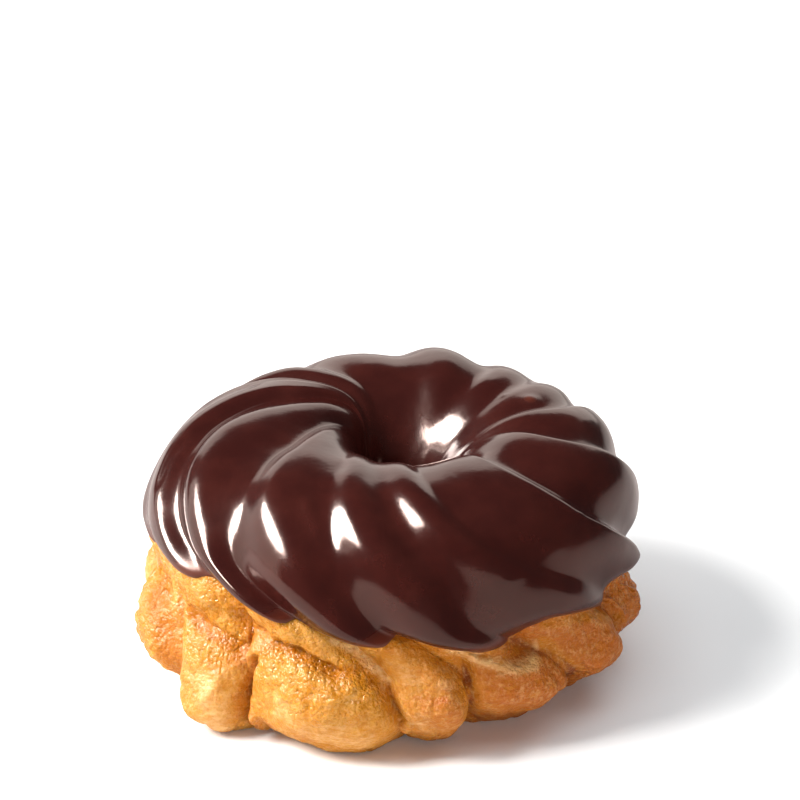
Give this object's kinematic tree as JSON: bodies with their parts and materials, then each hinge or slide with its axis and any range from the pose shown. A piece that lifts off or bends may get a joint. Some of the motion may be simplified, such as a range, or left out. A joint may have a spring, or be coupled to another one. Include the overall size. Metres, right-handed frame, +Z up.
{
  "type": "iced cruller doughnut",
  "caption": "Twisted ring doughnut of piped choux dough with deep swirled ridges, its top dipped in glossy chocolate icing.",
  "frame": {"origin": "middle of the footprint, on the surface that the doughnut rests on", "axes": "+Z up through the ring, icing on top; -Y towards the side where the icing hangs lowest; +X to the right of that view"},
  "size_m": [0.085, 0.085, 0.0439],
  "materials": {
    "fried_dough": "golden, bubbly, slightly oily",
    "chocolate_icing": "smooth and glossy"
  },
  "bodies": {
    "root": {"dough": "fried_dough", "icing": "chocolate_icing"}
  },
  "joints": []
}
